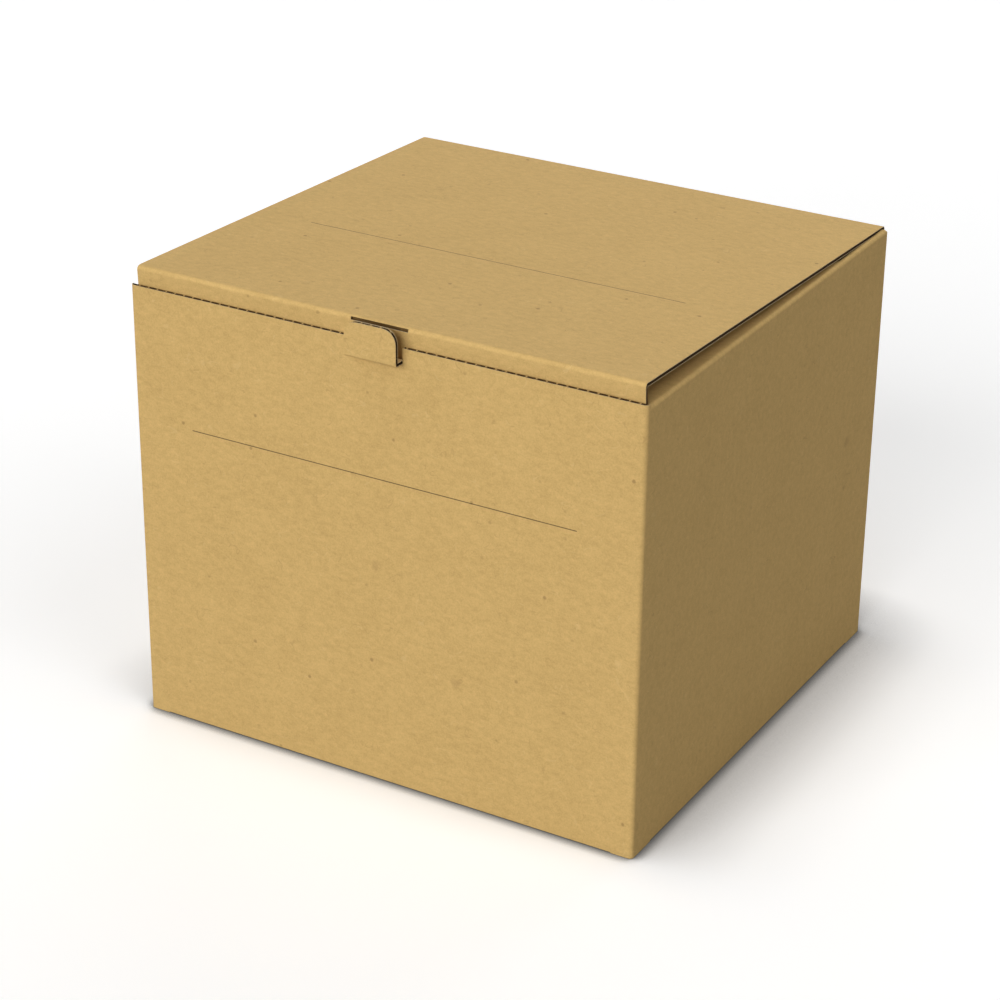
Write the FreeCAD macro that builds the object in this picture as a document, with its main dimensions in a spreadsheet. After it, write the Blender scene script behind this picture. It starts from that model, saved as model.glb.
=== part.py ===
import FreeCAD
import Part
import Sketcher
import math
import os

# A tuck-top carton of single-wall board with fine flutes. It is folded from one die-cut blank and
# stands closed. Origin at the middle of the base, +Z up, front wall towards -Y. Millimetres.

doc = FreeCAD.newDocument("carton")
sheet = doc.addObject("Spreadsheet::Sheet", "sizes")


class Size:
    """A length or angle of the carton: its number now, and the named values that it comes from."""

    def __init__(self, number, text):
        self.number = number
        self.text = text

    def __add__(self, other):
        return Size(self.number + plain(other), "(%s + %s)" % (self.text, worded(other)))

    def __sub__(self, other):
        return Size(self.number - plain(other), "(%s - %s)" % (self.text, worded(other)))

    def __mul__(self, other):
        return Size(self.number * plain(other), "(%s * %s)" % (self.text, worded(other)))

    def __truediv__(self, other):
        return Size(self.number / plain(other), "(%s / %s)" % (self.text, worded(other)))

    def __neg__(self):
        return Size(-self.number, "(0 - %s)" % self.text)


def plain(value):
    return value.number if isinstance(value, Size) else value


def worded(value):
    return value.text if isinstance(value, Size) else repr(value)


def tangent(angle):
    return Size(math.tan(math.radians(angle.number)), "tan(%s)" % angle.text)


def whole(value):
    return Size(math.floor(value.number), "floor(%s)" % value.text)


rows = []


def size(name, number):
    rows.append(name)
    sheet.set("A%d" % len(rows), name)
    sheet.set("B%d" % len(rows), str(number))
    sheet.setAlias("B%d" % len(rows), name)
    return Size(number, "sizes." + name)


# The carton and its board.
carton_width = size("carton_width", 180)
carton_depth = size("carton_depth", 172)
carton_height = size("carton_height", 150)
board = size("board", 1.3)
liner = size("liner", 0.2)
flute_pitch = size("flute_pitch", 3.35)
flute_wall = size("flute_wall", 0.2)
flute_end = size("flute_end", 3)
edge_groove = size("edge_groove", 1)
crease_round = size("crease_round", 1.2)
crease_play = size("crease_play", 0.35)
fold_gap = size("fold_gap", 0.1)

# The lid and its tuck flap.
lid_inset = size("lid_inset", 1.6)
lid_gap = size("lid_gap", 0.2)
lid_rest = size("lid_rest", 2)
slot_length = size("slot_length", 20)
slot_cut = size("slot_cut", 1.7)
tuck_inset = size("tuck_inset", 1.7)
tuck_length = size("tuck_length", 20)
tuck_straight = size("tuck_straight", 9)
tuck_taper = size("tuck_taper", 4)
tuck_corner = size("tuck_corner", 7)
tuck_lean = size("tuck_lean", 3.2)

# The dust flaps under the lid. Their creases are a little below the lid's, which lies between them.
side_step = size("side_step", 0.7)
dust_length = size("dust_length", 60)
dust_front_gap = size("dust_front_gap", 4.2)
dust_back_gap = size("dust_back_gap", 36)
dust_front_taper = size("dust_front_taper", 10)
dust_back_taper = size("dust_back_taper", 30)
dust_corner = size("dust_corner", 6)
dust_sag = size("dust_sag", 5)

# The lock tab at the top of the front wall.
tab_width = size("tab_width", 18)
tab_kerf = size("tab_kerf", 0.1)
tab_drop = size("tab_drop", 5)
tab_reach = size("tab_reach", 3.7)
tab_height = size("tab_height", 11.5)
tab_corner = size("tab_corner", 4.5)

# The glued seam at the back left corner.
glue_width = size("glue_width", 28)
glue_step = size("glue_step", 8)
glue_slope = size("glue_slope", 10)
glue_film = size("glue_film", 0.2)
bead_width = size("bead_width", 8)
bead_margin = size("bead_margin", 6)

# The interlocked base.
layer_gap = size("layer_gap", 0.05)
front_reach = size("front_reach", 88)
front_corner = size("front_corner", 8)
tongue_width = size("tongue_width", 60)
tongue_play = size("tongue_play", 4)
tongue_ramp = size("tongue_ramp", 22)
tongue_end = size("tongue_end", 22)
tongue_corner = size("tongue_corner", 8)
back_reach = size("back_reach", 96)
back_ramp = size("back_ramp", 10)
back_corner = size("back_corner", 10)
side_ramp = size("side_ramp", 5.5)
ramp_clear = size("ramp_clear", 0.5)
side_bevel = size("side_bevel", 36)

doc.recompute()

half_width = carton_width / 2
half_depth = carton_depth / 2
side_top = carton_height - side_step
inner_width = half_width - board
inner_depth = half_depth - board
tuck_face = -(inner_depth - lid_gap)
tab_half = tab_width / 2
tab_base = carton_height - tab_drop
tab_face = -(half_depth + tab_reach)
glue_face = inner_depth - glue_film
nodes = []


def start(name):
    body = doc.addObject("PartDesign::Body", name)
    nodes.append(body)
    return body


def draw(body, name, role, loops, offset=None):
    """A sketch on one of the piece's own planes, with every corner tied to the named values."""
    sketch = body.newObject("Sketcher::SketchObject", body.Name + "_" + name)
    plane = [item for item in body.Origin.OriginFeatures if item.Role == role][0]
    sketch.AttachmentSupport = (plane, [""])
    sketch.MapMode = "FlatFace"
    if offset is not None:
        sketch.setExpression("AttachmentOffset.Base.z", offset.text)
    first = 0
    for loop in loops:
        count = len(loop)
        spots = [FreeCAD.Vector(plain(x), plain(y), 0) for x, y in loop]
        for i in range(count):
            sketch.addGeometry(Part.LineSegment(spots[i], spots[(i + 1) % count]), False)
        for i in range(count):
            sketch.addConstraint(
                Sketcher.Constraint("Coincident", first + i, 2, first + (i + 1) % count, 1)
            )
        for i, corner in enumerate(loop):
            for kind, line, value in (("DistanceX", -2, corner[0]), ("DistanceY", -1, corner[1])):
                if isinstance(value, Size):
                    number = sketch.addConstraint(
                        Sketcher.Constraint(kind, -1, 1, first + i, 1, float(value.number))
                    )
                    sketch.setExpression("Constraints[%d]" % number, value.text)
                else:
                    sketch.addConstraint(Sketcher.Constraint("PointOnObject", first + i, 1, line))
        first += count
    return sketch


def finish(body, feature):
    body.Tip = feature
    doc.recompute()
    return feature


def pad(body, sketch, length, inward=False, middle=False):
    feature = body.newObject("PartDesign::Pad", body.Name + "_board")
    feature.Profile = sketch
    feature.setExpression("Length", length.text)
    feature.Reversed = inward
    if middle:
        feature.SideType = "Symmetric"
    sketch.Visibility = False
    return finish(body, feature)


def cut_through(body, sketch):
    feature = body.newObject("PartDesign::Pocket", body.Name + "_cut")
    feature.Profile = sketch
    feature.Type = "ThroughAll"
    feature.SideType = "Symmetric"
    sketch.Visibility = False
    return finish(body, feature)


def round_edges(body, radius, spots):
    """Rounds straight edges, each given as the axis it runs along and its other two coordinates."""
    names = []
    for i, edge in enumerate(body.Shape.Edges):
        ends = [(v.X, v.Y, v.Z) for v in edge.Vertexes]
        for axis, first, second in spots:
            others = [k for k in range(3) if k != "xyz".index(axis)]
            wanted = (plain(first), plain(second))
            if len(ends) == 2 and all(
                abs(end[k] - value) < 0.001 for end in ends for k, value in zip(others, wanted)
            ):
                names.append("Edge%d" % (i + 1))
    below = body.Tip
    feature = body.newObject("PartDesign::Fillet", body.Name + "_round")
    feature.Base = (below, names)
    feature.setExpression("Radius", radius.text)
    return finish(body, feature)


def flutes(body, role, offset, middle, low, span, depth, back=False):
    """The channels that the wavy middle ply leaves between the liners, open at a cut edge."""
    high = low + board - liner * 2
    count = whole((span - flute_pitch) / flute_pitch)
    left = middle - (count + 0.5) * flute_pitch / 2
    lower = [
        (left + flute_wall, low),
        (left + flute_pitch - flute_wall, low),
        (left + flute_pitch / 2, high - flute_wall),
    ]
    upper = [
        (left + flute_pitch / 2 + flute_wall, high),
        (left + flute_pitch, low + flute_wall),
        (left + flute_pitch * 1.5 - flute_wall, high),
    ]
    sketch = draw(body, "flute", role, [lower, upper], offset)
    feature = body.newObject("PartDesign::Pocket", body.Name + "_channel")
    feature.Profile = sketch
    feature.setExpression("Length", depth.text)
    feature.Reversed = back
    sketch.Visibility = False
    finish(body, feature)
    comb = body.newObject("PartDesign::LinearPattern", body.Name + "_channels")
    comb.Originals = [feature]
    comb.Direction = (sketch, ["H_Axis"])
    comb.Mode = "Spacing"
    comb.setExpression("Offset", flute_pitch.text)
    comb.setExpression("Occurrences", count.text)
    return finish(body, comb)


def turned(axis, angle, y, z, x=0):
    centre = FreeCAD.Vector(plain(x), plain(y), plain(z))
    return FreeCAD.Placement(
        FreeCAD.Vector(0, 0, 0), FreeCAD.Rotation(FreeCAD.Vector(*axis), plain(angle)), centre
    )


# Front wall. It turns both front corners, and its top edge is a bare cut that shows the flutes.
# A notch in the middle of that edge is where the lock tab was cut free.
notch = tab_half + tab_kerf
front = start("front_panel")
pad(front, draw(front, "outline", "XZ_Plane", [[
    (-half_width, 0), (half_width, 0), (half_width, carton_height), (notch, carton_height),
    (notch, tab_base), (-notch, tab_base), (-notch, carton_height), (-half_width, carton_height),
]], half_depth), board, inward=True)
round_edges(front, crease_round, [("z", half_width, -half_depth), ("z", -half_width, -half_depth)])
flutes(
    front, "XY_Plane", carton_height, Size(0, "0"), -half_depth + liner, carton_width - edge_groove * 2,
    carton_height - flute_end,
)

# Back wall. It turns the right corner, and its left end is a cut edge over the glue flap.
# The lid is creased off its top.
back = start("back_panel")
back_top = carton_height - board - fold_gap
pad(back, draw(back, "outline", "XZ_Plane", [[
    (-half_width, 0), (half_width, 0), (half_width, back_top), (-half_width, back_top),
]], -half_depth), board)
round_edges(back, crease_round, [("z", half_width, half_depth)])
cut_through(back, draw(back, "groove", "XY_Plane", [[
    (-half_width, inner_depth + liner), (-half_width + edge_groove, inner_depth + liner),
    (-half_width + edge_groove, half_depth - liner), (-half_width, half_depth - liner),
]]))

# Right wall, between the front and the back. Its rounded top edge is the dust flap's crease.
right = start("right_panel")
pad(right, draw(right, "outline", "YZ_Plane", [[
    (-inner_depth, 0), (inner_depth, 0), (inner_depth, side_top), (-inner_depth, side_top),
]], half_width), board, inward=True)
round_edges(right, crease_round, [("y", half_width, side_top)])

# Left wall, which carries the glue flap on its back edge.
left = start("left_panel")
glue_inner = glue_face - board
pad(left, draw(left, "outline", "YZ_Plane", [[
    (-inner_depth, 0), (glue_inner, 0), (glue_inner, side_top), (-inner_depth, side_top),
]], -half_width), board)
round_edges(left, crease_round, [("y", -half_width, side_top)])

# Glue flap: the strip creased off the left wall that the back wall is stuck to, with sloped ends.
glue = start("glue_flap")
pad(glue, draw(glue, "outline", "XZ_Plane", [[
    (-half_width, 0), (-inner_width, 0), (-inner_width, glue_step),
    (-half_width + glue_width, glue_step + glue_slope),
    (-half_width + glue_width, side_top - glue_step - glue_slope),
    (-inner_width, side_top - glue_step), (-inner_width, side_top), (-half_width, side_top),
]], -glue_face), board)
round_edges(glue, crease_round, [("z", -half_width, glue_face)])

# The dried glue between that flap and the back wall.
bead = doc.addObject("Part::Box", "seam_glue")
bead_low = glue_step + glue_slope + bead_margin
bead.setExpression("Length", bead_width.text)
bead.setExpression("Width", glue_film.text)
bead.setExpression("Height", (side_top - bead_low * 2).text)
bead.setExpression("Placement.Base.x", (-half_width + (glue_width + board - bead_width) / 2).text)
bead.setExpression("Placement.Base.y", glue_face.text)
bead.setExpression("Placement.Base.z", bead_low.text)
nodes.append(bead)
doc.recompute()

# Lid, drawn shut and then set ajar. Its back edge is rolled over the crease, and its sides are bare
# cuts along the flutes, just inside the side walls.
lid = start("lid_panel")
lid_half = half_width - lid_inset
lid_front = tuck_face + board + crease_play
pad(lid, draw(lid, "outline", "XY_Plane", [[
    (-lid_half, lid_front), (lid_half, lid_front), (lid_half, half_depth), (-lid_half, half_depth),
]], carton_height), board, inward=True)
round_edges(lid, crease_round, [("x", half_depth, carton_height)])
groove_low = carton_height - board + liner
groove_high = carton_height - liner
cut_through(lid, draw(lid, "groove", "XZ_Plane", [
    [(side, groove_low), (deep, groove_low), (deep, groove_high), (side, groove_high)]
    for side, deep in (
        (lid_half, lid_half - edge_groove),
        (-lid_half, -lid_half + edge_groove),
    )
]))
lid_turn = turned((-1, 0, 0), lid_rest, half_depth, carton_height)
lid.Placement = lid_turn

# Tuck flap: turned down from the lid's front edge behind the front wall, narrower towards its end. A
# slot cut in its crease takes the end of the lock tab.
tuck = start("tuck_flap")
tuck_half = half_width - tuck_inset
tuck_foot = carton_height - tuck_length
tuck_shoulder = carton_height - tuck_straight
slot_half = slot_length / 2
slot_foot = carton_height - slot_cut
pad(tuck, draw(tuck, "outline", "XZ_Plane", [[
    (-tuck_half, carton_height), (-tuck_half, tuck_shoulder), (-tuck_half + tuck_taper, tuck_foot),
    (tuck_half - tuck_taper, tuck_foot), (tuck_half, tuck_shoulder), (tuck_half, carton_height),
    (slot_half, carton_height), (slot_half, slot_foot), (-slot_half, slot_foot),
    (-slot_half, carton_height),
]], -tuck_face), board, inward=True)
round_edges(tuck, crease_round, [("x", tuck_face, carton_height)])
round_edges(tuck, tuck_corner, [
    ("y", tuck_half - tuck_taper, tuck_foot), ("y", -tuck_half + tuck_taper, tuck_foot),
])
flutes(
    tuck, "XY_Plane", tuck_foot, Size(0, "0"), tuck_face + liner,
    tuck_half * 2 - tuck_taper * 2 - edge_groove * 2, tuck_length - flute_end, back=True,
)
tuck_turn = turned((1, 0, 0), tuck_lean + lid_rest, tuck_face, carton_height)
tuck.Placement = lid_turn.multiply(tuck_turn)

# Dust flaps: creased off the side walls and folded in under the lid, with sloped front and back edges.
for name, side in (("left_dust_flap", -1), ("right_dust_flap", 1)):
    dust = start(name)
    root = (half_width - board - crease_play) * side
    tip = (half_width - dust_length) * side
    reach = dust_length - board - crease_play
    root_front = -half_depth + dust_front_gap
    root_back = half_depth - dust_back_gap
    tip_front = root_front + reach * tangent(dust_front_taper)
    tip_back = root_back - reach * tangent(dust_back_taper)
    pad(dust, draw(dust, "outline", "XY_Plane", [[
        (root, root_front), (tip, tip_front), (tip, tip_back), (root, root_back),
    ]], side_top), board, inward=True)
    round_edges(dust, dust_corner, [("z", tip, tip_front), ("z", tip, tip_back)])
    flutes(
        dust, "YZ_Plane", tip, (tip_front + tip_back) / 2, side_top - board + liner,
        tip_back - tip_front - dust_corner, reach - flute_end, back=side == 1,
    )
    dust.Placement = turned((0, -side, 0), dust_sag, Size(0, "0"), side_top, half_width * side)

# Lock tab. Its short strip is creased outwards from the foot of the notch, and the tab itself is
# creased upwards from the strip, so that the outer liner faces forward.
strip = start("tab_strip")
strip_front = tab_face + board + crease_play
pad(strip, draw(strip, "profile", "YZ_Plane", [[
    (strip_front, tab_base), (-inner_depth, tab_base), (-inner_depth, tab_base + board),
    (strip_front, tab_base + board),
]]), tab_width, middle=True)
round_edges(strip, crease_round, [("x", -inner_depth, tab_base + board)])

tab = start("lock_tab")
tab_top = tab_base + tab_height
pad(tab, draw(tab, "outline", "XZ_Plane", [[
    (-tab_half, tab_base), (tab_half, tab_base), (tab_half, tab_top), (-tab_half, tab_top),
]], -tab_face), board, inward=True)
round_edges(tab, crease_round, [("x", tab_face, tab_base)])
round_edges(tab, tab_corner, [("y", tab_half, tab_top), ("y", -tab_half, tab_top)])
flutes(
    tab, "XY_Plane", tab_top, Size(0, "0"), tab_face + liner, tab_width - edge_groove * 2,
    tab_height - flute_end,
)

# Base, flap by flap from the floor up. Each flap is turned in from the foot of its wall and eased up
# over the one below it: front flap, side flaps, back flap, and the front flap's tongue on top of all.
side_level = board + layer_gap
back_level = side_level * 2
tongue_level = side_level * 3
tongue_half = tongue_width / 2
flap_half = inner_width - fold_gap - side_ramp - ramp_clear
gap_half = tongue_half + tongue_play
main_end = front_reach - half_depth
ramp_end = main_end + tongue_ramp
tongue_tip = ramp_end + tongue_end

base_front = start("bottom_front_flap")
front_root = -inner_depth + fold_gap
pad(base_front, draw(base_front, "profile", "YZ_Plane", [[
    (front_root, 0), (main_end, 0), (ramp_end, tongue_level), (tongue_tip, tongue_level),
    (tongue_tip, tongue_level + board), (ramp_end, tongue_level + board), (main_end, board),
    (front_root, board),
]]), flap_half * 2, middle=True)
cut_through(base_front, draw(base_front, "shoulder", "XY_Plane", [
    [(side_a, main_end), (side_b, main_end), (side_b, tongue_tip), (side_a, tongue_tip)]
    for side_a, side_b in ((tongue_half, flap_half), (-tongue_half, -flap_half))
]))
round_edges(base_front, tongue_corner, [
    ("z", tongue_half, tongue_tip), ("z", -tongue_half, tongue_tip),
])
round_edges(base_front, front_corner, [("z", flap_half, main_end), ("z", -flap_half, main_end)])

base_back = start("bottom_back_flap")
back_root = inner_depth - fold_gap
back_end = half_depth - back_reach
notch_end = ramp_end + ramp_clear
pad(base_back, draw(base_back, "profile", "YZ_Plane", [[
    (back_root, 0), (back_root, board), (back_root - back_ramp, back_level + board),
    (back_end, back_level + board), (back_end, back_level), (back_root - back_ramp, back_level),
]]), flap_half * 2, middle=True)
cut_through(base_back, draw(base_back, "notch", "XY_Plane", [[
    (-gap_half, back_end), (gap_half, back_end), (gap_half, notch_end), (-gap_half, notch_end),
]]))
round_edges(base_back, back_corner, [("z", flap_half, back_end), ("z", -flap_half, back_end)])

for name, side in (("bottom_left_flap", -1), ("bottom_right_flap", 1)):
    base_side = start(name)
    side_root = (inner_width - fold_gap) * side
    side_flat = (inner_width - fold_gap - side_ramp) * side
    side_end = gap_half * side
    side_half = back_root - back_ramp - ramp_clear
    pad(base_side, draw(base_side, "profile", "XZ_Plane", [[
        (side_root, 0), (side_root, board), (side_flat, side_level + board),
        (side_end, side_level + board), (side_end, side_level), (side_flat, side_level),
    ]]), side_half * 2, middle=True)
    cut_through(base_side, draw(base_side, "bevel", "XY_Plane", [[
        (side_end, -side_half), (side_end, -side_half + side_bevel),
        ((gap_half + side_bevel) * side, -side_half),
    ]]))

doc.recompute()
for item in doc.Objects:
    bad = [state for state in item.State if state in ("Invalid", "Error")]
    if bad:
        raise RuntimeError("%s: %s" % (item.Name, bad))
os.makedirs("parts", exist_ok=True)
for item in nodes:
    if item.Shape.isNull() or not item.Shape.isValid() or len(item.Shape.Solids) != 1:
        raise RuntimeError("%s is not one valid solid" % item.Name)
    item.Shape.exportStep("parts/%s.step" % item.Name)
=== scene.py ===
import math

import bmesh
import bpy
from mathutils import Matrix, Vector


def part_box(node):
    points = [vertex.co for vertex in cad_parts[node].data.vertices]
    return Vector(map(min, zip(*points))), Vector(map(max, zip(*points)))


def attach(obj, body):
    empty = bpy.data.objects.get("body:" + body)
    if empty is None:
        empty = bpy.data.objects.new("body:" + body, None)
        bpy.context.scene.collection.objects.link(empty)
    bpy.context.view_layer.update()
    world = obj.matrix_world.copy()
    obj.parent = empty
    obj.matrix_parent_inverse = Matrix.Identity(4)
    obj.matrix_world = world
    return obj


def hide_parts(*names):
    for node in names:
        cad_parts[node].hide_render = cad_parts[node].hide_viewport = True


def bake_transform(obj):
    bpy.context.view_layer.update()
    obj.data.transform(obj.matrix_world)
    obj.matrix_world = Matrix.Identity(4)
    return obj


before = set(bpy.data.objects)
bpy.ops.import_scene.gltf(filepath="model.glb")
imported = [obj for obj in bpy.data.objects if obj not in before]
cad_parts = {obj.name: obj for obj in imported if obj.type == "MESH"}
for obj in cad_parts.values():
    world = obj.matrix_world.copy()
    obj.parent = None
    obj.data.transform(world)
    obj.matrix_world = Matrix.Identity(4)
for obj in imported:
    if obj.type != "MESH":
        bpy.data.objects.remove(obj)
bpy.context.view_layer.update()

# Brown kraft paper, of which the whole carton is made. The sheet is mottled, with short fibres, a few
# dark specks of bark and a slight tooth; its inner side is duller and shows the flutes faintly.


class Tone:
    """A value that changes over the paper: one socket of a material, with arithmetic on it."""

    def __init__(self, tree, socket=None):
        self.tree = tree
        self.socket = socket

    def node(self, kind, settings, values, out=0):
        made = self.tree.nodes.new("ShaderNode" + kind)
        for name, value in settings.items():
            setattr(made, name, value)
        for name, value in values.items():
            if isinstance(value, Tone):
                self.tree.links.new(value.socket, made.inputs[name])
            else:
                made.inputs[name].default_value = value
        return Tone(self.tree, made.outputs[out])

    def also(self, out):
        return Tone(self.tree, self.socket.node.outputs[out])

    def sums(self, operation, first, second):
        return self.node("Math", {"operation": operation}, {0: first, 1: second})

    def __add__(self, other):
        return self.sums("ADD", self, other)

    __radd__ = __add__

    def __sub__(self, other):
        return self.sums("SUBTRACT", self, other)

    def __rsub__(self, other):
        return self.sums("SUBTRACT", other, self)

    def __mul__(self, other):
        return self.sums("MULTIPLY", self, other)

    __rmul__ = __mul__

    def __abs__(self):
        return self.sums("ABSOLUTE", self, 0.0)

    def rises(self, low, high):
        """0 below low, 1 above high, smooth between."""
        settings = {"interpolation_type": "SMOOTHSTEP"}
        return self.node("MapRange", settings, {0: self, 1: low, 2: high})

    def between(self, first, second):
        """A colour from the first at 0 to the second at 1."""
        return self.node("Mix", {"data_type": "RGBA"}, {0: self, 6: first, 7: second}, 2)


def noise(place, scale, detail, distortion=0.0):
    values = {"Vector": place, "Scale": scale, "Detail": detail, "Distortion": distortion}
    return place.node("TexNoise", {}, values) - 0.5


SPECK_GRAIN = 700.0
SPECK_RAGGED = 0.07
SPECK_SOFT = 0.03
SPECK_FAINT = 0.15
SPECK_FULL = 0.8


def specks(place, scale, radius):
    """Ragged specks at random places, some of them faint."""
    cells = place.node("TexVoronoi", {}, {"Vector": place, "Scale": scale}, "Distance")
    chosen = cells.node("SeparateColor", {}, {"Color": cells.also("Color")}, "Red")
    ragged = cells + noise(place, SPECK_GRAIN, 1.0) * SPECK_RAGGED
    inside = 1 - ragged.rises(radius - SPECK_SOFT, radius + SPECK_SOFT)
    return inside * chosen.rises(SPECK_FAINT, SPECK_FULL)


FIBRE_FADE = 0.05


def fibres(along, place, scale, curl, width, patches, level):
    """Fine curled lines along a stretched place, which come and go in patches."""
    middle = abs(noise(along, scale, 1.0, curl))
    patch = noise(place, patches, 0.0).rises(level, level + FIBRE_FADE)
    return (1 - middle.rises(0.0, width)) * patch


def new_finish(name):
    """A new material, and the place on the piece where its pattern is read."""
    material = bpy.data.materials.new(name)
    material.use_nodes = True
    return material, Tone(material.node_tree).node("TexCoord", {}, {}, "Object")


def dress(material, colour, roughness, relief):
    """Gives a material its colour, its roughness and its relief."""
    tree = material.node_tree
    shader = tree.nodes["Principled BSDF"]
    for name, tone in (("Base Color", colour), ("Roughness", roughness), ("Normal", relief)):
        tree.links.new(tone.socket, shader.inputs[name])
    return shader


FLUTE_PITCH = 3.35
FLUTE_TURN = 2000.0 * math.pi / FLUTE_PITCH
FIBRE_STRETCH = (0.45, 0.8, 0.8)
CLOUD = (55.0, 2.0)
CLOUD_SHARE = 0.2
STREAK = (850.0, 3.0)
STREAK_SHARE = 0.65
GRAIN = (2100.0, 2.0)
GRAIN_SHARE = 0.75
BARK = (0.19, 0.10, 0.035, 1.0)
BARK_SPECKS = ((30.0, 0.055, 0.2), (115.0, 0.065, 0.5))
DARK_FIBRE = (0.28, 0.16, 0.055, 1.0)
DARK_FIBRES = (150.0, 0.8, 0.012, 260.0, 0.09)
DARK_FIBRE_SHARE = 0.22
PALE_FIBRE = (0.78, 0.58, 0.27, 1.0)
PALE_FIBRES = (210.0, 0.5, 0.015, 310.0, 0.1)
PALE_FIBRE_SHARE = 0.2
INK = (0.045, 0.028, 0.014, 1.0)
INK_SHARE = 0.8
RULE_HALF = 0.00012
RULE_FADE = 0.0002
RIB_SHADE = (0.16, 0.09, 0.03, 1.0)
RIB_SHARE = 0.04
RIB_HEIGHT = 0.25
# Pale crests of the fluting: a painted highlight for light seen between the flutes at a cut edge.
PAINTED_LIT_CREST = (0.5, 0.335, 0.125, 1.0)
CREST_START = 0.72
CREST_FULL = 0.9
TOOTH = {"Strength": 0.35, "Distance": 0.00012}
PAPER_ROUGHNESS = 0.82
GRAIN_ROUGHNESS = 0.25
PAPER_GLOSS = 0.25


def kraft(name, dark, pale, rule=None, flute_axis=None, lit_crests=False):
    """Kraft paper between two shades. A rule is a thin line across it: its axis, level and half length.

    The flutes show faintly along a flute axis, and where asked their crests are painted pale: a painted
    highlight for the light seen between the flutes at a cut edge.
    """
    material, place = new_finish(name)
    drawn = place.node("Mapping", {}, {"Vector": place, "Scale": FIBRE_STRETCH})
    cloud = noise(place, *CLOUD)
    streak = noise(drawn, *STREAK)
    grain = noise(place, *GRAIN)
    shade = 0.5 + cloud * CLOUD_SHARE + streak * STREAK_SHARE + grain * GRAIN_SHARE
    colour = shade.between(dark, pale)
    for scale, radius, share in BARK_SPECKS:
        colour = (specks(place, scale, radius) * share).between(colour, BARK)
    dark_fibres = fibres(place, place, *DARK_FIBRES)
    colour = (dark_fibres * DARK_FIBRE_SHARE).between(colour, DARK_FIBRE)
    pale_fibres = fibres(drawn, place, *PALE_FIBRES)
    colour = (pale_fibres * PALE_FIBRE_SHARE).between(colour, PALE_FIBRE)
    height = grain * 0.7 + streak * 0.5 + dark_fibres * 0.2
    if rule:
        axis, level, half = rule
        spot = place.node("SeparateXYZ", {}, {0: place}, "X")
        across = abs(spot.also(axis) - level)
        ink = (1 - across.rises(RULE_HALF, RULE_FADE)) * (1 - abs(spot).rises(half, half + RULE_FADE))
        colour = (ink * INK_SHARE).between(colour, INK)
    # Faint ribs along the flutes: in the relief, and as painted shade that darkens the colour a little
    # in a wave across each flute.
    if flute_axis:
        run = place.node("SeparateXYZ", {}, {0: place}, flute_axis)
        ribs = run.sums("SINE", run * FLUTE_TURN, 0.0)
        height = height + ribs * RIB_HEIGHT
        colour = (RIB_SHARE - ribs * RIB_SHARE).between(colour, RIB_SHADE)
    # Painted highlight: the crests of the flutes are made pale.
    if lit_crests:
        run = place.node("SeparateXYZ", {}, {0: place}, "X")
        crests = run.sums("COSINE", run * FLUTE_TURN, 0.0)
        colour = crests.rises(CREST_START, CREST_FULL).between(colour, PAINTED_LIT_CREST)
    relief = height.node("Bump", {}, {"Height": height, **TOOTH})
    shader = dress(material, colour, PAPER_ROUGHNESS + grain * GRAIN_ROUGHNESS, relief)
    shader.inputs["Specular IOR Level"].default_value = PAPER_GLOSS
    return material


BROWN = ((0.46, 0.295, 0.098, 1.0), (0.72, 0.485, 0.185, 1.0))
DULL_BROWN = ((0.38, 0.24, 0.09, 1.0), (0.60, 0.40, 0.165, 1.0))
CUT_PAPER = ((0.42, 0.32, 0.17, 1.0), (0.66, 0.53, 0.33, 1.0))
# Fluting papers: darker than real fluting, partly a dark recycled paper and partly painted shade for
# the voids between the flutes. The second is a paler copy with less painted shade.
SHADED_FLUTING = ((0.045, 0.021, 0.006, 1.0), (0.085, 0.045, 0.014, 1.0))
PALER_SHADED_FLUTING = ((0.12, 0.066, 0.02, 1.0), (0.2, 0.115, 0.037, 1.0))
FRONT_RULE = ("Z", 0.1055, 0.0683)
LID_RULE = ("Y", -0.0185, 0.0676)
kraft_outside = kraft("kraft_outside", *BROWN)
kraft_front = kraft("kraft_front", *BROWN, rule=FRONT_RULE)
kraft_lid = kraft("kraft_lid", *BROWN, rule=LID_RULE)
kraft_inside = kraft("kraft_inside", *DULL_BROWN, flute_axis="X")
kraft_inside_side = kraft("kraft_inside_side", *DULL_BROWN, flute_axis="Y")
cut_edge = kraft("cut_edge", *CUT_PAPER)
fluting_painted_shade = kraft("fluting_painted_shade", *SHADED_FLUTING)
# Fluting with painted shade and pale crests, a painted highlight, for the front wall and the lock tab.
fluting_painted_shade_lit_crests = kraft("fluting_painted_shade_lit_crests", *SHADED_FLUTING, lit_crests=True)
# The paler fluting with less painted shade, for the tuck flap, where the slot shows it.
lit_fluting = kraft("lit_fluting", *PALER_SHADED_FLUTING)

# Where each paper of a board goes: its two faces, its middle ply, the hidden sides of its liners and
# the cut edges of its outer and its inner liner. The middle ply and the hidden sides of the liners take
# the fluting papers with painted shade; on the front wall and the tuck flap the inner liner's cut edge
# takes them too, painted shade where the real edge is pale.
OUTSIDE, INSIDE, OUTER_CUT, MIDDLE, HIDDEN, INNER_CUT = range(6)
SIDE_PAPERS = (kraft_outside, kraft_inside_side, cut_edge, fluting_painted_shade, fluting_painted_shade, cut_edge)
PLAIN_PAPERS = (kraft_outside, kraft_inside, cut_edge, fluting_painted_shade, fluting_painted_shade, cut_edge)
FRONT_PAPERS = (kraft_front, kraft_inside, cut_edge, fluting_painted_shade_lit_crests, fluting_painted_shade_lit_crests, fluting_painted_shade_lit_crests)
LID_PAPERS = (kraft_lid, kraft_inside, cut_edge, fluting_painted_shade, fluting_painted_shade, cut_edge)
TUCK_PAPERS = (kraft_outside, kraft_inside, cut_edge, lit_fluting, lit_fluting, lit_fluting)
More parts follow.
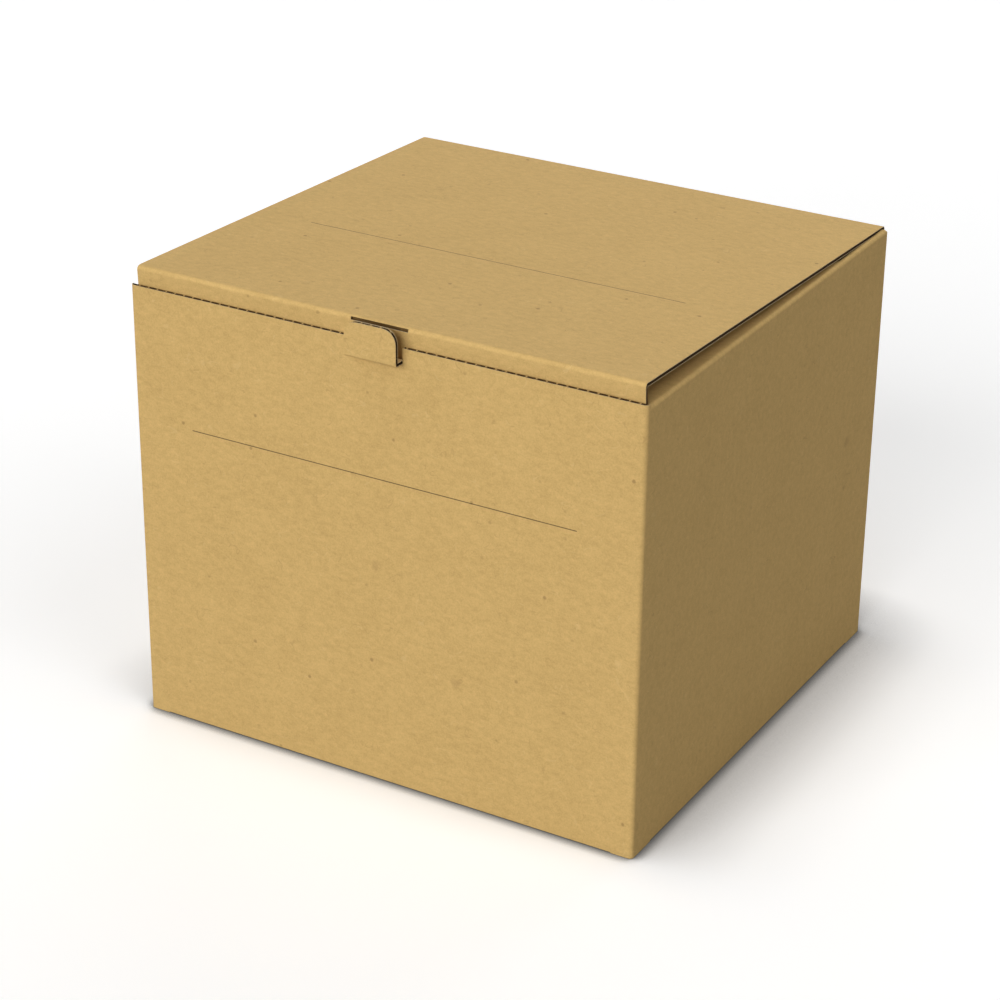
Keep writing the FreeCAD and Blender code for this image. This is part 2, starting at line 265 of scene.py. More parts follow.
TAB_PAPERS = (kraft_outside, kraft_inside, cut_edge, fluting_painted_shade_lit_crests, fluting_painted_shade_lit_crests, cut_edge)

# Front wall: fluted board of three plies, an outer liner, a wavy middle ply and an inner liner. The
# outer liner runs on round both front corners, and the lock tab's notch is die-cut in its top edge.
MM = 0.001
NEAR = 0.001
BOARD = 1.3
LINER = 0.2
MIDDLE_PLY = 0.14
FLUTE_STEPS = 12
CUT_SHORT = 0.05
END_SHORT = 0.6
BEND_STEPS = 10
CORNER_STEPS = 8
SHARP_FOLD = 0.6
WALL_ROUND = 1.5
FOOT_ROUND = 0.5
FOOT_END = 1.35
FOOT_LIFT = 0.3
TAIL = 0.5
HALF_WIDTH = 90.0
HALF_DEPTH = 86.0
WALL_HEIGHT = 150.0
BASE_HALF = 82.6
NOTCH_HALF = 9.1
NOTCH_FOOT = 145.0
CORE_SHORT = 1.1
LINING_SHORT = 0.4


def line(sheet, axis, value):
    """The edges of a ply that lie on one straight line and have nothing beyond them."""
    return [
        edge for edge in sheet.edges
        if edge.is_boundary and all(abs(vert.co[axis] - value) < NEAR for vert in edge.verts)
    ]


def cut_sheet(pieces, level, rounds):
    """One ply, die-cut to an outline that is given as convex pieces side by side."""
    sheet = bmesh.new()
    for piece in pieces:
        sheet.faces.new([sheet.verts.new((u, v, level)) for u, v in piece])
    bmesh.ops.remove_doubles(sheet, verts=sheet.verts, dist=NEAR)
    for u, v, radius in rounds:
        corner = [vert for vert in sheet.verts if abs(vert.co.x - u) + abs(vert.co.y - v) < 2 * NEAR]
        bmesh.ops.bevel(
            sheet, geom=corner, offset=radius, offset_type="OFFSET", segments=CORNER_STEPS,
            profile=0.5, affect="VERTICES", material=-1,
        )
    sheet.normal_update()
    return sheet


def pull(sheet, edges, step):
    """Carries an edge of a ply on by a straight step, and returns the new edge."""
    made = bmesh.ops.extrude_edge_only(sheet, edges=edges)["geom"]
    moved = [item for item in made if isinstance(item, bmesh.types.BMVert)]
    bmesh.ops.translate(sheet, vec=step, verts=moved)
    return [item for item in made if isinstance(item, bmesh.types.BMEdge)]


def roll(sheet, edges, centre, axis, angle):
    """Carries an edge of a ply on round a crease, and returns the new edge."""
    made = bmesh.ops.spin(
        sheet, geom=edges, cent=centre, axis=axis, dvec=(0, 0, 0), angle=angle, steps=BEND_STEPS,
        use_merge=False, use_normal_flip=False, use_duplicate=False,
    )["geom_last"]
    return [item for item in made if isinstance(item, bmesh.types.BMEdge)]


def turn_corner(sheet, u, radius, end=0.0):
    """Carries the outer liner on round an upright corner of the carton."""
    side = math.copysign(1.0, u)
    edges = pull(sheet, line(sheet, 0, u), (side * TAIL, 0, 0))
    edges = roll(sheet, edges, (u + side * TAIL, 0, -radius), (0, side, 0), math.pi / 2)
    if end:
        pull(sheet, edges, (0, 0, -end))


def turn_foot(sheet):
    """Carries the outer liner on round the crease at the wall's foot."""
    edges = line(sheet, 1, FOOT_ROUND)
    edges = roll(sheet, edges, (0, FOOT_ROUND, -FOOT_ROUND), (1, 0, 0), math.pi / 2)
    pull(sheet, edges, (0, 0, FOOT_ROUND - FOOT_END))


def add_to(whole, sheet):
    """Lays a finished ply into a board."""
    mesh = bpy.data.meshes.new("ply")
    sheet.to_mesh(mesh)
    sheet.free()
    whole.from_mesh(mesh)
    bpy.data.meshes.remove(mesh)


def wavy(flat):
    """The middle ply inside an outline: flutes along v, stopping just short of the cut edges."""
    waves = bmesh.new()
    swing = BOARD / 2 - LINER - MIDDLE_PLY / 2
    for face in flat.faces:
        us = [vert.co.x for vert in face.verts]
        vs = [vert.co.y for vert in face.verts]
        first = math.floor(min(us) / FLUTE_PITCH) * FLUTE_PITCH
        count = math.ceil((max(us) - first) / FLUTE_PITCH)
        middle = (first + count * FLUTE_PITCH / 2, (min(vs) + max(vs)) / 2, 0)
        stretch = Matrix.Diagonal((count * FLUTE_PITCH, max(vs) - min(vs), 1, 1))
        wave = bmesh.new()
        bmesh.ops.create_grid(
            wave, x_segments=count * FLUTE_STEPS, y_segments=1, size=0.5,
            matrix=Matrix.Translation(middle) @ stretch,
        )
        for vert in wave.verts:
            rise = 0.5 + 0.5 * math.cos(2 * math.pi * vert.co.x / FLUTE_PITCH)
            vert.co.z = -BOARD / 2 + MIDDLE_PLY / 2 + swing * (2 * rise ** 3 - 1)
        for loop in face.loops:
            run = loop.link_loop_next.vert.co - loop.vert.co
            outward = Vector((run.y, -run.x, 0)).normalized()
            short = 0.0
            if loop.edge.is_boundary:
                short = CUT_SHORT + END_SHORT * outward.x ** 2
            bmesh.ops.bisect_plane(
                wave, geom=wave.verts[:] + wave.edges[:] + wave.faces[:], dist=NEAR / 10,
                plane_co=loop.vert.co - outward * short, plane_no=outward, clear_outer=True,
            )
        add_to(waves, wave)
    flat.free()
    bmesh.ops.remove_doubles(waves, verts=waves.verts, dist=NEAR)
    waves.normal_update()
    return waves


def thicken(sheet, thickness, outward, face, back, rim):
    """Gives a ply its thickness, and the papers of its face, its back and its cut edge."""
    bmesh.ops.recalc_face_normals(sheet, faces=sheet.faces)
    sheet.normal_update()
    lean = sum((item.normal * item.calc_area() for item in sheet.faces), Vector())
    if lean.dot(Vector(outward)) < 0:
        bmesh.ops.reverse_faces(sheet, faces=sheet.faces)
    count = len(sheet.faces)
    bmesh.ops.solidify(sheet, geom=sheet.faces[:], thickness=thickness)
    for number, item in enumerate(sheet.faces):
        item.material_index = face if number < count else back if number < 2 * count else rim
    return sheet


def bring_in(name, shape, finishes):
    """Makes a finished shape an object of the scene."""
    mesh = bpy.data.meshes.new(name)
    shape.to_mesh(mesh)
    shape.free()
    for finish in finishes:
        mesh.materials.append(finish)
    piece = bpy.data.objects.new(name, mesh)
    bpy.context.scene.collection.objects.link(piece)
    return piece


def set_up(name, whole, place, papers):
    """Folds a finished piece of board into its place in the carton."""
    bmesh.ops.transform(whole, matrix=place, verts=whole.verts)
    bmesh.ops.scale(whole, vec=(MM, MM, MM), verts=whole.verts)
    whole.normal_update()
    for item in whole.faces:
        item.smooth = True
    for edge in whole.edges:
        edge.smooth = len(edge.link_faces) == 2 and edge.calc_face_angle() < SHARP_FOLD
    piece = bring_in(name, whole, papers)
    return piece


def board(
    name, pieces, place, papers, core=None, lining=None, rounds=(), corners=(), foot=False, ramp=None,
):
    """A panel of board. u runs across its flutes, v along them, and its outer face is at 0."""
    whole = bmesh.new()
    up = (0, 0, 1)
    outer = cut_sheet(pieces, 0.0, rounds)
    for corner in corners:
        turn_corner(outer, *corner)
    if foot:
        turn_foot(outer)
    add_to(whole, thicken(outer, LINER, up, OUTSIDE, HIDDEN, OUTER_CUT))
    middle = wavy(cut_sheet(core or pieces, 0.0, rounds))
    inner = cut_sheet(lining or core or pieces, LINER - BOARD, rounds)
    if foot:
        for vert in middle.verts[:] + inner.verts[:]:
            vert.co.y = max(vert.co.y, FOOT_LIFT)
    add_to(whole, thicken(middle, MIDDLE_PLY, up, MIDDLE, MIDDLE, MIDDLE))
    add_to(whole, thicken(inner, LINER, up, HIDDEN, INSIDE, INNER_CUT))
    if ramp:
        for vert in whole.verts:
            vert.co.z -= ramp(vert.co.y)
    return set_up(name, whole, place, papers)


def upright(degrees, distance):
    """The place of a wall that faces the front, turned about the carton's middle."""
    face_on = Matrix(((1, 0, 0, 0), (0, 0, -1, -distance), (0, 1, 0, 0), (0, 0, 0, 1)))
    return Matrix.Rotation(math.radians(degrees), 4, "Z") @ face_on


def block(left, right, near, far):
    return [(left, near), (right, near), (right, far), (left, far)]


def footed(left, right, top, half):
    """A plain wall with its foot crease between two short cut ends."""
    return [
        block(left, -half, 0, FOOT_ROUND),
        block(half, right, 0, FOOT_ROUND),
        [(left, FOOT_ROUND), (-half, FOOT_ROUND), (half, FOOT_ROUND), (right, FOOT_ROUND),
         (right, top), (left, top)],
    ]


def notched(end):
    """The front wall's outline between its corners, with the lock tab's notch."""
    left_foot, right_foot, wall = footed(-end, end, NOTCH_FOOT, BASE_HALF)
    wall[5:5] = [(NOTCH_HALF, NOTCH_FOOT), (-NOTCH_HALF, NOTCH_FOOT)]
    left_top = block(-end, -NOTCH_HALF, NOTCH_FOOT, WALL_HEIGHT)
    right_top = block(NOTCH_HALF, end, NOTCH_FOOT, WALL_HEIGHT)
    return [left_foot, right_foot, wall, left_top, right_top]


front_end = HALF_WIDTH - WALL_ROUND - TAIL
core_end = HALF_WIDTH - CORE_SHORT
lining_end = HALF_WIDTH - LINING_SHORT
front_wall = board(
    "front_wall", notched(front_end), upright(0, HALF_DEPTH), FRONT_PAPERS,
    core=notched(core_end), lining=notched(lining_end),
    corners=((-front_end, WALL_ROUND), (front_end, WALL_ROUND)), foot=True,
)
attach(front_wall, "carton")
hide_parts("front_panel")

# Back wall: the same board. Its outer liner turns the right back corner; its left end is a cut edge,
# stuck over the glue flap.
LID_TILT = 2.0
BACK_ROUND = 1.2
back_reach = BACK_ROUND / math.tan(math.radians(90 + LID_TILT) / 2) + TAIL
back_top = WALL_HEIGHT - back_reach
back_wall = board(
    "back_wall", footed(-front_end, HALF_WIDTH, back_top, BASE_HALF),
    upright(180, HALF_DEPTH), PLAIN_PAPERS,
    core=footed(-core_end, HALF_WIDTH, back_top, BASE_HALF),
    lining=footed(-lining_end, HALF_WIDTH, back_top, BASE_HALF),
    corners=((-front_end, WALL_ROUND),), foot=True,
)
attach(back_wall, "carton")
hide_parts("back_panel")

# Side walls, between the front and the back. A dust flap is creased off the top of each, and the left
# wall's outer liner turns the back corner into the glue flap.
SIDE_TOP = 149.3
DUST_SAG = 5.0
DUST_ROUND = 1.2
SIDE_FOOT_HALF = 74.1
GLUE_FACE = 84.5
GLUE_RUN = 0.3
side_reach = DUST_ROUND / math.tan(math.radians(90 - DUST_SAG) / 2) + TAIL
side_end = HALF_DEPTH - WALL_ROUND
glue_end = GLUE_FACE - DUST_ROUND - TAIL
for name, degrees, left, right, corners in (
    ("right", 90, -side_end, side_end, ()),
    ("left", -90, -glue_end, side_end, ((-glue_end, DUST_ROUND, GLUE_RUN),)),
):
    side_wall = board(
        name + "_wall", footed(left, right, SIDE_TOP - side_reach, SIDE_FOOT_HALF),
        upright(degrees, HALF_WIDTH), SIDE_PAPERS, corners=corners, foot=True,
    )
    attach(side_wall, "carton")
    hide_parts(name + "_panel")

# Glue flap: a strip of the same board inside the back wall, with sloped ends, and the ribbon of dried
# glue that holds the back wall to it.
GLUE_ROOT = 88.5
GLUE_TIP = 62.0
GLUE_LOW = 8.1
GLUE_HIGH = 140.4
GLUE_SLOPE = 9.9
GLUE_PALE = (0.72, 0.58, 0.34, 1.0)
GLUE_DARK = (0.52, 0.36, 0.16, 1.0)
GLUE_SKIN = {"Strength": 0.4, "Distance": 0.0001}
RIBBON_WIDE = 0.9
RIBBON_THICK = 0.8
RIBBON_STEPS = 40
BULGE = 0.0004
BULGE_TURN = 240.0
SWAY = 0.0003
SWAY_TURN = 610.0
glue_outline = [
    (GLUE_TIP, GLUE_LOW + GLUE_SLOPE), (GLUE_ROOT, GLUE_LOW),
    (GLUE_ROOT, GLUE_HIGH), (GLUE_TIP, GLUE_HIGH - GLUE_SLOPE),
]
glue_strip = board("glue_strip", [glue_outline], upright(180, GLUE_FACE), PLAIN_PAPERS)
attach(glue_strip, "carton")
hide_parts("glue_flap")

glue, glue_place = new_finish("dried_glue")
blot = noise(glue_place, 300.0, 3.0)
glue_colour = (0.5 + blot * 1.6).between(GLUE_DARK, GLUE_PALE)
dress(glue, glue_colour, 0.35 + blot * 0.4, blot.node("Bump", {}, {"Height": blot, **GLUE_SKIN}))

glue_low, glue_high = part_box("seam_glue")
glue_size = glue_high - glue_low
glue_middle = (glue_low + glue_high) / 2
ribbon = bmesh.new()
bmesh.ops.create_grid(
    ribbon, x_segments=2, y_segments=RIBBON_STEPS, size=0.5,
    matrix=Matrix.Diagonal((glue_size.x * RIBBON_WIDE, glue_size.z, 1, 1)),
)
for vert in ribbon.verts:
    vert.co.x += BULGE * math.sin(vert.co.y * BULGE_TURN) * math.copysign(1.0, vert.co.x)
    vert.co.x += SWAY * math.sin(vert.co.y * SWAY_TURN)
thicken(ribbon, glue_size.y * RIBBON_THICK, (0, 0, 1), 0, 0, 0)
bmesh.ops.transform(
    ribbon, verts=ribbon.verts,
    matrix=Matrix.Translation((glue_middle.x, glue_high.y, glue_middle.z)) @ upright(180, 0),
)
glue_ribbon = bring_in("glue_ribbon", ribbon, (glue,))
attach(glue_ribbon, "carton")
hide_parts("seam_glue")

# Base: four flaps of the same board, folded in one over the other from the foot of the walls. The
# front flap ends in a tongue that goes through the back flap's notch and locks them all.
LAYER = 1.35
FRONT_REACH = 88.0
FRONT_CORNER = 8.0
TONGUE_HALF = 30.0
TONGUE_BEND = 110.0
TONGUE_TIP = 132.0
GAP_HALF = 34.0
GAP_FOOT = 61.5
BACK_CLIMB = 11.4
BACK_REACH = 96.0
BACK_CORNER = 10.0
SIDE_CLIMB = 6.9
SIDE_REACH = 56.0
SIDE_BEVEL = 36.0


def underneath(degrees, distance):
    """The place of a base flap: its outer face down, and v inward from the foot of its wall."""
    face_down = Matrix(((-1, 0, 0, 0), (0, 1, 0, -distance), (0, 0, -1, 0), (0, 0, 0, 1)))
    return Matrix.Rotation(math.radians(degrees), 4, "Z") @ face_down


def eased(start, end, level):
    """A flap's climb over the flap below it, between two lines."""
    return lambda v: level * min(max((v - start) / (end - start), 0.0), 1.0)


def shouldered(half, near, far, neck):
    """A block whose far edge has two more points, where a narrower or a notched part starts."""
    return [(-half, near), (half, near), (half, far), (neck, far), (-neck, far), (-half, far)]


def both_sides(half, v, radius):
    return ((-half, v, radius), (half, v, radius))


base_front = board(
    "base_front_flap",
    [
        shouldered(BASE_HALF, FOOT_END, FRONT_REACH, TONGUE_HALF),
        block(-TONGUE_HALF, TONGUE_HALF, FRONT_REACH, TONGUE_BEND),
        block(-TONGUE_HALF, TONGUE_HALF, TONGUE_BEND, TONGUE_TIP),
    ],
    underneath(0, HALF_DEPTH), PLAIN_PAPERS, ramp=eased(FRONT_REACH, TONGUE_BEND, 3 * LAYER),
    rounds=both_sides(BASE_HALF, FRONT_REACH, FRONT_CORNER)
    + both_sides(TONGUE_HALF, TONGUE_TIP, FRONT_CORNER),
)
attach(base_front, "carton")
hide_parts("bottom_front_flap")

base_back = board(
    "base_back_flap",
    [
        block(-BASE_HALF, BASE_HALF, FOOT_END, BACK_CLIMB),
        shouldered(BASE_HALF, BACK_CLIMB, GAP_FOOT, GAP_HALF),
        block(-BASE_HALF, -GAP_HALF, GAP_FOOT, BACK_REACH),
        block(GAP_HALF, BASE_HALF, GAP_FOOT, BACK_REACH),
    ],
    underneath(180, HALF_DEPTH), PLAIN_PAPERS, ramp=eased(FOOT_END, BACK_CLIMB, 2 * LAYER),
    rounds=both_sides(BASE_HALF, BACK_REACH, BACK_CORNER),
)
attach(base_back, "carton")
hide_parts("bottom_back_flap")

for name, degrees in (("right", 90), ("left", -90)):
    bevelled = [
        (-SIDE_FOOT_HALF, SIDE_CLIMB), (SIDE_FOOT_HALF, SIDE_CLIMB),
        (SIDE_FOOT_HALF, SIDE_REACH - SIDE_BEVEL), (SIDE_FOOT_HALF - SIDE_BEVEL, SIDE_REACH),
        (-SIDE_FOOT_HALF, SIDE_REACH),
    ]
    if degrees < 0:
        bevelled = [(-u, v) for u, v in reversed(bevelled)]
    base_side = board(
        "base_%s_flap" % name,
        [block(-SIDE_FOOT_HALF, SIDE_FOOT_HALF, FOOT_END, SIDE_CLIMB), bevelled],
        underneath(degrees, HALF_WIDTH), SIDE_PAPERS, ramp=eased(FOOT_END, SIDE_CLIMB, LAYER),
    )
    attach(base_side, "carton")
    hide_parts("bottom_%s_flap" % name)

# Dust flaps: folded in from the side walls under the lid, with sloped front and back edges. Each hangs
# on a crease, where the liners run on over the bend and the flutes are crushed flat.
DUST_ROOT = 1.65
DUST_LENGTH = 60.0
DUST_FRONT = -81.8
DUST_BACK = 50.0
DUST_FRONT_SLOPE = 10.0
DUST_BACK_SLOPE = 30.0
DUST_CORNER = 6.0


def start_edge(sheet, start, first, last):
    """A straight edge from left to right, from which a ply is carried on."""
    ends = [sheet.verts.new(start + Vector((x, 0, 0))) for x in (first, last)]
    return [sheet.edges.new(ends)]


def crease(name, corner, toward_a, toward_b, radius, spans, place, papers, inner_out=False):
    """Board bent between two panels that leave a corner line in the directions given, as (y, z).

    A span runs from one x to another. A slot takes away a share of the bend in its span.
    """
    corner = Vector((0, *corner))
    side_a = Vector((0, *toward_a)).normalized()
    side_b = Vector((0, *toward_b)).normalized()
    half = side_a.angle(side_b) / 2
    inward = (side_a + side_b).normalized()
    reach = radius / math.tan(half)
    centre = corner + inward * (radius / math.sin(half))
    axis = (-side_a).cross(side_b).normalized()
    inner_corner = corner + inward * (BOARD / math.sin(half))
    bend = math.pi - 2 * half
    tail = TAIL + reach - BOARD / math.tan(half)
    shown, lining = (INSIDE, OUTSIDE) if inner_out else (OUTSIDE, INSIDE)
    whole = bmesh.new()
    for first, last, slot_share in spans:
        outer = bmesh.new()
        inner = bmesh.new()
        if slot_share:
            rim = MIDDLE
            skipped = Matrix.Rotation(bend * slot_share, 3, axis)
            slot_edge = centre + skipped @ (corner + side_a * reach - centre)
            outer_edges = start_edge(outer, slot_edge, first, last)
            inner_edges = start_edge(inner, inner_corner + side_b * (tail / 2), first, last)
            steps = [side_b * (tail / 4)] * 2
        else:
            rim = OUTER_CUT
            outer_edges = start_edge(outer, corner + side_a * (reach + TAIL), first, last)
            outer_edges = pull(outer, outer_edges, side_a * -TAIL)
            inner_edges = start_edge(inner, inner_corner + side_a * tail, first, last)
            steps = [side_a * (-tail / 4)] * 4 + [side_b * (tail / 4)] * 4
        outer_edges = roll(outer, outer_edges, centre, axis, bend * (1 - slot_share))
        pull(outer, outer_edges, side_b * TAIL)
        for step in steps:
            inner_edges = pull(inner, inner_edges, step)
        add_to(whole, thicken(outer, LINER, -inward, shown, HIDDEN, rim))
        add_to(whole, thicken(inner, LINER, inward, lining, HIDDEN, rim))
    piece = set_up(name, whole, place, papers)
    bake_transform(piece)
    return piece


def tilted(degrees, y, z):
    """A turn about a crease that runs from left to right at the given place."""
    there = Matrix.Translation((0, y, z))
    return there @ Matrix.Rotation(math.radians(degrees), 4, "X") @ there.inverted()


sag = math.radians(DUST_SAG)
dust_run = DUST_LENGTH - DUST_ROOT
front_tip = DUST_FRONT + dust_run * math.tan(math.radians(DUST_FRONT_SLOPE))
back_tip = DUST_BACK - dust_run * math.tan(math.radians(DUST_BACK_SLOPE))
dust_edge = Matrix.Translation((0, -HALF_WIDTH, SIDE_TOP))
dust_place = tilted(-DUST_SAG, -HALF_WIDTH, SIDE_TOP) @ dust_edge
for name, degrees, back_end in (("right", 90, side_end), ("left", -90, glue_end)):
    dust_outline = [
        (DUST_FRONT, side_reach), (DUST_BACK, side_reach),
        (back_tip, DUST_LENGTH), (front_tip, DUST_LENGTH),
    ]
    if degrees < 0:
        dust_outline = [(-u, v) for u, v in reversed(dust_outline)]
    tips = [(u, v, DUST_CORNER) for u, v in dust_outline if v == DUST_LENGTH]
    around = Matrix.Rotation(math.radians(degrees), 4, "Z")
    dust_flap = board(
        name + "_dust_board", [dust_outline], around @ dust_place, SIDE_PAPERS, rounds=tips,
    )
    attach(dust_flap, name + "_dust")
    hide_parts(name + "_dust_flap")
    crease(
        name + "_dust_crease", (-HALF_WIDTH, SIDE_TOP), (0, -1), (math.cos(sag), -math.sin(sag)),
        DUST_ROUND, [(-back_end, side_end, 0)], around, SIDE_PAPERS,
    )

# Lid: one board over the whole top, creased off the back wall and standing a little ajar. Its sides
# are bare cuts along the flutes.
LID_HALF = 88.4
TUCK_FACE = 84.5
TUCK_LEAN = 3.2
TUCK_ROUND = 1.3
tuck_reach = TUCK_ROUND / math.tan(math.radians(90 - TUCK_LEAN - LID_TILT) / 2) + TAIL
lid_rise = math.radians(LID_TILT)
lid_turn = tilted(-LID_TILT, HALF_DEPTH, WALL_HEIGHT)
lid_board = board(
    "lid_board", [block(-LID_HALF, LID_HALF, tuck_reach - TUCK_FACE, HALF_DEPTH - back_reach)],
    lid_turn @ Matrix.Translation((0, 0, WALL_HEIGHT)), LID_PAPERS,
)
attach(lid_board, "lid")
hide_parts("lid_panel")
crease(
    "back_crease", (HALF_DEPTH, WALL_HEIGHT), (0, -1), (-math.cos(lid_rise), math.sin(lid_rise)),
    BACK_ROUND, [(-LID_HALF, LID_HALF, 0)], Matrix.Identity(4), PLAIN_PAPERS,
)

# Tuck flap: turned down from the lid's front crease behind the front wall, with tapered ends. The slot
# for the lock tab is die-cut in it just under the crease.
TUCK_HALF = 88.3
TUCK_FOOT_HALF = 84.3
TUCK_SHOULDER = -9.0
TUCK_FOOT = -20.0
TUCK_CORNER = 7.0
SLOT_HALF = 10.0
SLOT_SHARE = 0.5
SLOT_CORE_FOOT = -1.6
SLOT_LINING_FOOT = -0.95
tuck_top = -tuck_reach
tuck_turn = lid_turn @ tilted(TUCK_LEAN + LID_TILT, -TUCK_FACE, WALL_HEIGHT)
lean = math.radians(TUCK_LEAN + LID_TILT)


def slotted(foot):
    """The tuck flap's outline, with its middle at the height of the slot's foot."""
    step = min(foot, tuck_top)
    pieces = [
        [(-TUCK_FOOT_HALF, TUCK_FOOT), (TUCK_FOOT_HALF, TUCK_FOOT),
         (TUCK_HALF, TUCK_SHOULDER), (-TUCK_HALF, TUCK_SHOULDER)],
        shouldered(TUCK_HALF, TUCK_SHOULDER, step, SLOT_HALF),
    ]
    if foot > tuck_top:
        return pieces + [block(-SLOT_HALF, SLOT_HALF, step, foot)]
    return pieces + [
        block(-TUCK_HALF, -SLOT_HALF, step, tuck_top), block(SLOT_HALF, TUCK_HALF, step, tuck_top),
    ]


tuck_board = board(
    "tuck_board", slotted(tuck_top + TAIL),
    tuck_turn @ Matrix.Translation((0, 0, WALL_HEIGHT)) @ upright(0, TUCK_FACE), TUCK_PAPERS,
    core=slotted(SLOT_CORE_FOOT), lining=slotted(SLOT_LINING_FOOT),
    rounds=both_sides(TUCK_FOOT_HALF, TUCK_FOOT, TUCK_CORNER),
)
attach(tuck_board, "tuck")
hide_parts("tuck_flap")
crease(
    "lid_crease", (-TUCK_FACE, WALL_HEIGHT), (math.sin(lean), -math.cos(lean)), (1, 0), TUCK_ROUND,
    [(-TUCK_HALF, -SLOT_HALF, 0), (-SLOT_HALF, SLOT_HALF, SLOT_SHARE), (SLOT_HALF, TUCK_HALF, 0)],
    lid_turn, TUCK_PAPERS,
)

# Lock tab: cut free in the front wall's notch, creased outwards on a short strip and then upwards, so
# that its outer liner faces forward. Its top corners are round.
TAB_HALF = 9.0
TAB_FACE = 89.7
TAB_HEIGHT = 11.5
TAB_CORNER = 4.5
TAB_ROUND = 0.9
STRIP_ROUND = 1.1
tab_reach = TAB_ROUND + TAIL
tab_span = [(-TAB_HALF, TAB_HALF, 0)]
tab_board = board(
    "tab_board", [block(-TAB_HALF, TAB_HALF, tab_reach, TAB_HEIGHT)],
    Matrix.Translation((0, 0, NOTCH_FOOT)) @ upright(0, TAB_FACE), TAB_PAPERS,
    rounds=both_sides(TAB_HALF, TAB_HEIGHT, TAB_CORNER),
)
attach(tab_board, "tab")
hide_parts("lock_tab")
strip_root = HALF_DEPTH - BOARD + STRIP_ROUND + TAIL
strip_place = Matrix(((1, 0, 0, 0), (0, -1, 0, 0), (0, 0, -1, NOTCH_FOOT), (0, 0, 0, 1)))
strip_board = board(
    "tab_strip_board", [block(-TAB_HALF, TAB_HALF, strip_root, TAB_FACE - tab_reach)],
    strip_place, PLAIN_PAPERS,
)
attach(strip_board, "tab_root")
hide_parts("tab_strip")
crease(
    "tab_foot_crease", (BOARD - HALF_DEPTH, NOTCH_FOOT + BOARD), (0, -1), (-1, 0), STRIP_ROUND,
    tab_span, Matrix.Identity(4), PLAIN_PAPERS, inner_out=True,
)
crease(
    "tab_crease", (-TAB_FACE, NOTCH_FOOT), (1, 0), (0, 1), TAB_ROUND,
    tab_span, Matrix.Identity(4), PLAIN_PAPERS,
)

# Studio: a white floor that keeps the carton's shadow. Where the camera sees it, ambient occlusion
# darkens its colour and glow close to the carton: a painted shadow, a thin dark line at the foot and
# softer painted shade beside the walls. The lamps stand in front, above, to the right and behind, and
# the surround is an even white.
FLOOR_HALF = 6.0
FLOOR_DROP = 0.0002
FLOOR_GREY = (0.25, 0.25, 0.25, 1.0)
FLOOR_WHITE = (0.95, 0.95, 0.95, 1.0)
FLOOR_GLOW = 0.21
BLACK = (0.0, 0.0, 0.0, 1.0)
WHITE = (1.0, 1.0, 1.0, 1.0)
CONTACT_REACH = 0.005
CONTACT_LEVEL = 0.3
FOOT_SKY = 0.5
OPEN_SKY = 1.0
SHADE_REACH = 0.032
SHADE_SAMPLES = 8
SURROUND_LEVEL = 0.2


def seen_rays(tree):
    """1 where the camera, a mirror or glass shows a surface, and 0 where it only gives light."""
    camera_ray = Tone(tree).node("LightPath", {}, {}, "Is Camera Ray")
    return camera_ray + camera_ray.also("Is Glossy Ray") + camera_ray.also("Is Transmission Ray")


floor_shape = bmesh.new()
bmesh.ops.create_grid(floor_shape, x_segments=1, y_segments=1, size=FLOOR_HALF)
floor_paint = bpy.data.materials.new("studio_floor")
floor_paint.use_nodes = True
floor = bring_in("studio_floor", floor_shape, (floor_paint,))
floor.location.z = -FLOOR_DROP
floor_tree = floor_paint.node_tree
floor_tree.nodes.clear()
seen = seen_rays(floor_tree)
forward = seen.node("CombineXYZ", {}, {"Y": -math.sqrt(0.5), "Z": math.sqrt(0.5)})
shading = {"samples": SHADE_SAMPLES}
near_sky = seen.node("AmbientOcclusion", shading, {"Distance": CONTACT_REACH}, "AO")
front_sky = seen.node("AmbientOcclusion", shading, {"Distance": SHADE_REACH, "Normal": forward}, "AO")
# Painted shade: the floor's colour and glow for the camera are darkened by ambient occlusion near the
# carton.
painted_floor_shade = (CONTACT_LEVEL + near_sky.rises(FOOT_SKY, OPEN_SKY) * (1 - CONTACT_LEVEL)) * front_sky
paint = seen.between(FLOOR_GREY, painted_floor_shade.between(BLACK, FLOOR_WHITE))
matt = seen.node("BsdfDiffuse", {}, {"Color": paint})
glow = seen.node("Emission", {}, {"Strength": seen * painted_floor_shade * FLOOR_GLOW})
both = seen.node("AddShader", {}, {0: matt, 1: glow})
floor_out = floor_tree.nodes.new("ShaderNodeOutputMaterial")
floor_tree.links.new(both.socket, floor_out.inputs["Surface"])

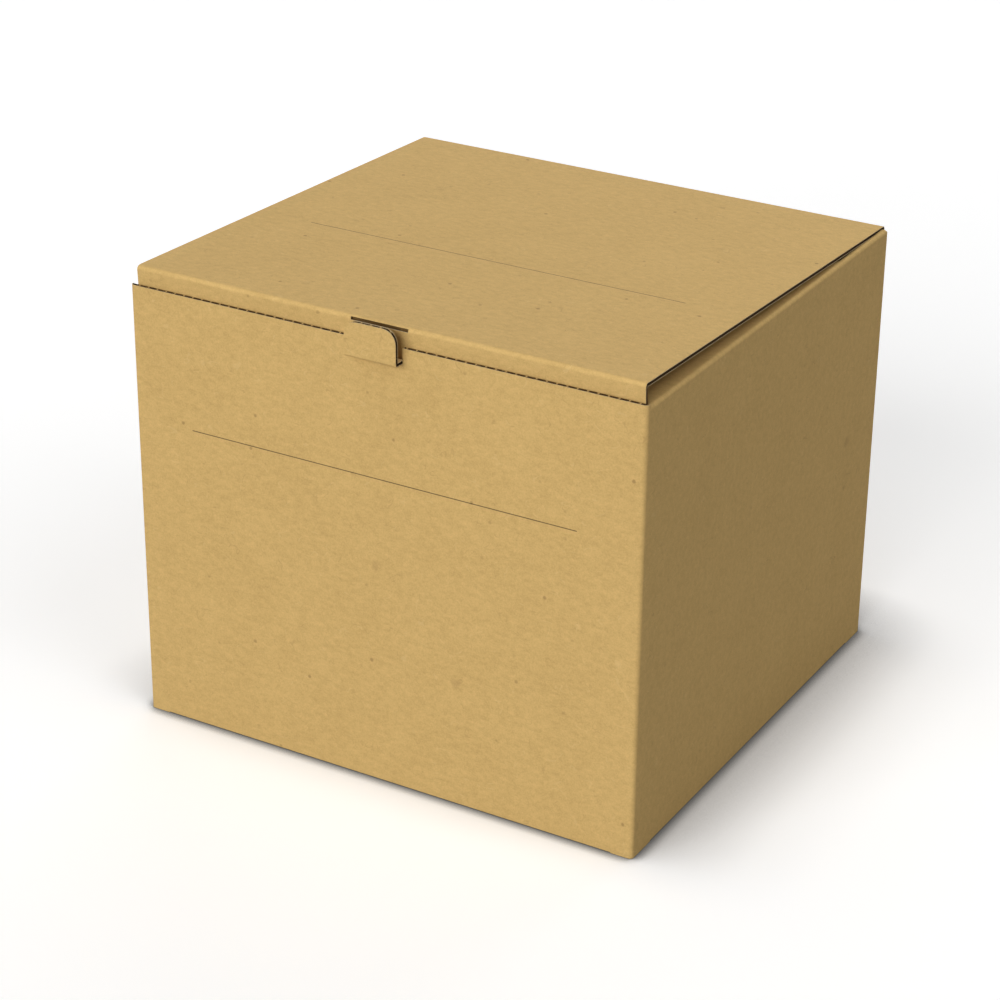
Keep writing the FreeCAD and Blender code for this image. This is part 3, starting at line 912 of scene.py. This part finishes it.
world = bpy.data.worlds.new("studio")
world.use_nodes = True
bpy.context.scene.world = world
surround = world.node_tree.nodes["Background"]
surround_level = SURROUND_LEVEL + seen_rays(world.node_tree) * (1 - SURROUND_LEVEL)
world.node_tree.links.new(surround_level.socket, surround.inputs["Strength"])
surround.inputs["Color"].default_value = WHITE

for name, level, spread, toward in (
    ("key_lamp", 0.99, 60, (-0.1, -0.97, 0.22)),
    ("top_lamp", 0.19, 18, (-0.2, -0.05, 1.0)),
    ("side_lamp", 0.19, 40, (0.7, -0.1, 0.7)),
    ("back_lamp", 0.25, 60, (-0.2, 0.93, 0.35)),
):
    lamp_data = bpy.data.lights.new(name, "SUN")
    lamp_data.energy = level * math.pi
    lamp_data.angle = math.radians(spread)
    lamp = bpy.data.objects.new(name, lamp_data)
    lamp.rotation_mode = "QUATERNION"
    lamp.rotation_quaternion = (-Vector(toward)).to_track_quat("-Z", "Y")
    bpy.context.scene.collection.objects.link(lamp)

# Camera: a long lens a little above and to the right of the front, with a slight roll. It aims just
# left of the carton's middle, and has neither shift nor depth of field.
CAMERA_LENS = 99.855
CAMERA_SENSOR = 36.0
CAMERA_CLIP = (0.05, 50.0)
CAMERA_AIM = (-0.0067891, 0.0, 0.0615397)
CAMERA_DISTANCE = 0.924967
CAMERA_AZIMUTH = 29.8604
CAMERA_ELEVATION = 25.6471
CAMERA_ROLL = 0.6309
camera_data = bpy.data.cameras.new("camera")
camera_data.sensor_width = CAMERA_SENSOR
camera_data.lens = CAMERA_LENS
camera_data.clip_start, camera_data.clip_end = CAMERA_CLIP
camera = bpy.data.objects.new("camera", camera_data)
azimuth = math.radians(CAMERA_AZIMUTH)
elevation = math.radians(CAMERA_ELEVATION)
level_out = math.cos(elevation)
away = Vector((math.sin(azimuth) * level_out, -math.cos(azimuth) * level_out, math.sin(elevation)))
camera.location = Vector(CAMERA_AIM) + away * CAMERA_DISTANCE
camera.rotation_mode = "QUATERNION"
rolled = Matrix.Rotation(math.radians(CAMERA_ROLL), 4, "Z").to_quaternion()
camera.rotation_quaternion = (-away).to_track_quat("-Z", "Y") @ rolled
bpy.context.scene.collection.objects.link(camera)
bpy.context.scene.camera = camera
bpy.context.scene.view_settings.view_transform = "Standard"
